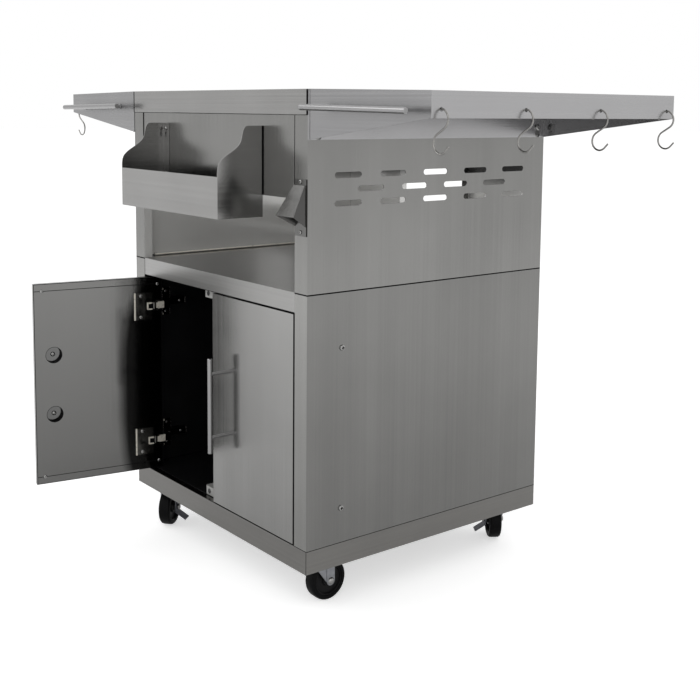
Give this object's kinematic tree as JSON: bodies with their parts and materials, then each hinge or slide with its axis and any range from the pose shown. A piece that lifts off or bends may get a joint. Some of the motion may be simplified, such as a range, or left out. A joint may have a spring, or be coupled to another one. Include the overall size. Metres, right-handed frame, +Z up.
{
  "type": "grill cart with storage",
  "caption": "Stainless grill cart with a cabinet behind double doors, an open shelf bay, side shelves with towel bars and hooks, a front rack and swivel castors.",
  "frame": {"origin": "on the floor, midway across the cart and midway between the free edge of the open left door and the rear of the top frame", "axes": "+X across the cart to its right seen from the front, +Y to the rear, +Z up"},
  "size_m": [1.2316, 0.803, 0.905],
  "materials": {
    "brushed_stainless": "brushed",
    "door_inner_skin": "brushed",
    "black_lining": "satin",
    "polished_bar": "polished",
    "nickel_hinge": "satin",
    "screw": "satin",
    "hook_wire": "polished",
    "zinc_plate": "zinc plated",
    "brake_steel": "satin",
    "wheel_rubber": "matte",
    "catch_plastic": "matte"
  },
  "bodies": {
    "cart": {"base_tray": "brushed_stainless", "lower_side_right": "brushed_stainless", "lower_side_left": "brushed_stainless", "deck": "brushed_stainless", "upper_side_right": "brushed_stainless", "upper_side_left": "brushed_stainless", "front_panel": "brushed_stainless", "upper_back": "brushed_stainless", "top_frame": "brushed_stainless", "shelf_right": "brushed_stainless", "shelf_left": "brushed_stainless", "rack": "brushed_stainless", "bottle_opener": "brushed_stainless", "cabinet_floor": "black_lining", "side_liner_right": "black_lining", "side_liner_left": "black_lining", "lower_back": "zinc_plate", "back_liner": "black_lining", "towel_bar_right": "polished_bar", "towel_bar_left": "polished_bar", "hinge_arms_right": "nickel_hinge", "hinge_arms_left": "nickel_hinge", "catches": "catch_plastic", "cabinet_screws": "screw", "shelf_bolts": "screw", "accessory_screws": "screw", "castor_channels": "zinc_plate", "castor_plates": "zinc_plate", "castor_bolts": "screw"},
    "door_right": {"door_skin_right": "brushed_stainless", "door_inner_right": "door_inner_skin", "door_handle_right": "polished_bar", "door_hinge_cups_right": "nickel_hinge", "door_screws_right": "screw"},
    "door_left": {"door_skin_left": "brushed_stainless", "door_inner_left": "door_inner_skin", "door_handle_left": "polished_bar", "door_hinge_cups_left": "nickel_hinge", "door_screws_left": "screw"},
    "castor_fork_front_right": {"castor_fork_front_right": "zinc_plate"},
    "castor_wheel_front_right": {"castor_wheel_front_right": "wheel_rubber"},
    "castor_brake_front_right": {"castor_brake_front_right": "brake_steel"},
    "castor_fork_front_left": {"castor_fork_front_left": "zinc_plate"},
    "castor_wheel_front_left": {"castor_wheel_front_left": "wheel_rubber"},
    "castor_brake_front_left": {"castor_brake_front_left": "brake_steel"},
    "castor_fork_rear_right": {"castor_fork_rear_right": "zinc_plate"},
    "castor_wheel_rear_right": {"castor_wheel_rear_right": "wheel_rubber"},
    "castor_brake_rear_right": {"castor_brake_rear_right": "brake_steel"},
    "castor_fork_rear_left": {"castor_fork_rear_left": "zinc_plate"},
    "castor_wheel_rear_left": {"castor_wheel_rear_left": "wheel_rubber"},
    "castor_brake_rear_left": {"castor_brake_rear_left": "brake_steel"},
    "hook_right_1": {"hook_right_1": "hook_wire"},
    "hook_right_2": {"hook_right_2": "hook_wire"},
    "hook_right_3": {"hook_right_3": "hook_wire"},
    "hook_right_4": {"hook_right_4": "hook_wire"},
    "hook_left_1": {"hook_left_1": "hook_wire"},
    "hook_left_2": {"hook_left_2": "hook_wire"},
    "hook_left_3": {"hook_left_3": "hook_wire"},
    "hook_left_4": {"hook_left_4": "hook_wire"}
  },
  "joints": [
    {"name": "door_right_hinge", "type": "hinge", "parent": "cart", "child": "door_right", "pos_m": [0.2465, -0.16002, 0.325], "axis": [0, 0, 1], "range_deg": [0, 104]},
    {"name": "door_left_hinge", "type": "hinge", "parent": "cart", "child": "door_left", "pos_m": [-0.2465, -0.16002, 0.325], "axis": [0, 0, -1], "range_deg": [-100, 4]},
    {"name": "castor_front_right_swivel", "type": "hinge", "parent": "cart", "child": "castor_fork_front_right", "pos_m": [0.25, -0.11502, 0.093], "axis": [0, 0, 1], "continuous": true},
    {"name": "castor_front_right_roll", "type": "hinge", "parent": "castor_fork_front_right", "child": "castor_wheel_front_right", "pos_m": [0.25, -0.08902, 0.0375], "axis": [-1, 0, 0], "continuous": true},
    {"name": "castor_front_right_brake", "type": "hinge", "parent": "castor_fork_front_right", "child": "castor_brake_front_right", "pos_m": [0.25, -0.08902, 0.0375], "axis": [-1, 0, 0], "range_deg": [0, 20]},
    {"name": "castor_front_left_swivel", "type": "hinge", "parent": "cart", "child": "castor_fork_front_left", "pos_m": [-0.25, -0.11502, 0.093], "axis": [0, 0, 1], "continuous": true},
    {"name": "castor_front_left_roll", "type": "hinge", "parent": "castor_fork_front_left", "child": "castor_wheel_front_left", "pos_m": [-0.23329, -0.13494, 0.0375], "axis": [0.766, 0.6428, 0], "continuous": true},
    {"name": "castor_front_left_brake", "type": "hinge", "parent": "castor_fork_front_left", "child": "castor_brake_front_left", "pos_m": [-0.23329, -0.13494, 0.0375], "axis": [0.766, 0.6428, 0], "range_deg": [0, 20]},
    {"name": "castor_rear_right_swivel", "type": "hinge", "parent": "cart", "child": "castor_fork_rear_right", "pos_m": [0.25, 0.34498, 0.093], "axis": [0, 0, 1], "continuous": true},
    {"name": "castor_rear_right_roll", "type": "hinge", "parent": "castor_fork_rear_right", "child": "castor_wheel_rear_right", "pos_m": [0.2287, 0.35989, 0.0375], "axis": [-0.5736, -0.8192, 0], "continuous": true},
    {"name": "castor_rear_right_brake", "type": "hinge", "parent": "castor_fork_rear_right", "child": "castor_brake_rear_right", "pos_m": [0.2287, 0.35989, 0.0375], "axis": [-0.5736, -0.8192, 0], "range_deg": [0, 20]},
    {"name": "castor_rear_left_swivel", "type": "hinge", "parent": "cart", "child": "castor_fork_rear_left", "pos_m": [-0.25, 0.34498, 0.093], "axis": [0, 0, 1], "continuous": true},
    {"name": "castor_rear_left_roll", "type": "hinge", "parent": "castor_fork_rear_left", "child": "castor_wheel_rear_left", "pos_m": [-0.27443, 0.33608, 0.0375], "axis": [0.342, -0.9397, 0], "continuous": true},
    {"name": "castor_rear_left_brake", "type": "hinge", "parent": "castor_fork_rear_left", "child": "castor_brake_rear_left", "pos_m": [-0.27443, 0.33608, 0.0375], "axis": [0.342, -0.9397, 0], "range_deg": [0, 20]},
    {"name": "hook_right_1_swing", "type": "hinge", "parent": "cart", "child": "hook_right_1", "pos_m": [0.5974, -0.15052, 0.8735], "axis": [0, 1, 0], "range_deg": [-20, 20]},
    {"name": "hook_right_2_swing", "type": "hinge", "parent": "cart", "child": "hook_right_2", "pos_m": [0.5974, 0.02648, 0.8735], "axis": [0, 1, 0], "range_deg": [-20, 20]},
    {"name": "hook_right_3_swing", "type": "hinge", "parent": "cart", "child": "hook_right_3", "pos_m": [0.5974, 0.20348, 0.8735], "axis": [0, 1, 0], "range_deg": [-20, 20]},
    {"name": "hook_right_4_swing", "type": "hinge", "parent": "cart", "child": "hook_right_4", "pos_m": [0.5974, 0.38048, 0.8735], "axis": [0, 1, 0], "range_deg": [-20, 20]},
    {"name": "hook_left_1_swing", "type": "hinge", "parent": "cart", "child": "hook_left_1", "pos_m": [-0.5974, -0.15052, 0.8735], "axis": [0, 1, 0], "range_deg": [-20, 20]},
    {"name": "hook_left_2_swing", "type": "hinge", "parent": "cart", "child": "hook_left_2", "pos_m": [-0.5974, 0.02648, 0.8735], "axis": [0, 1, 0], "range_deg": [-20, 20]},
    {"name": "hook_left_3_swing", "type": "hinge", "parent": "cart", "child": "hook_left_3", "pos_m": [-0.5974, 0.20348, 0.8735], "axis": [0, 1, 0], "range_deg": [-20, 20]},
    {"name": "hook_left_4_swing", "type": "hinge", "parent": "cart", "child": "hook_left_4", "pos_m": [-0.5974, 0.38048, 0.8735], "axis": [0, 1, 0], "range_deg": [-20, 20]}
  ]
}
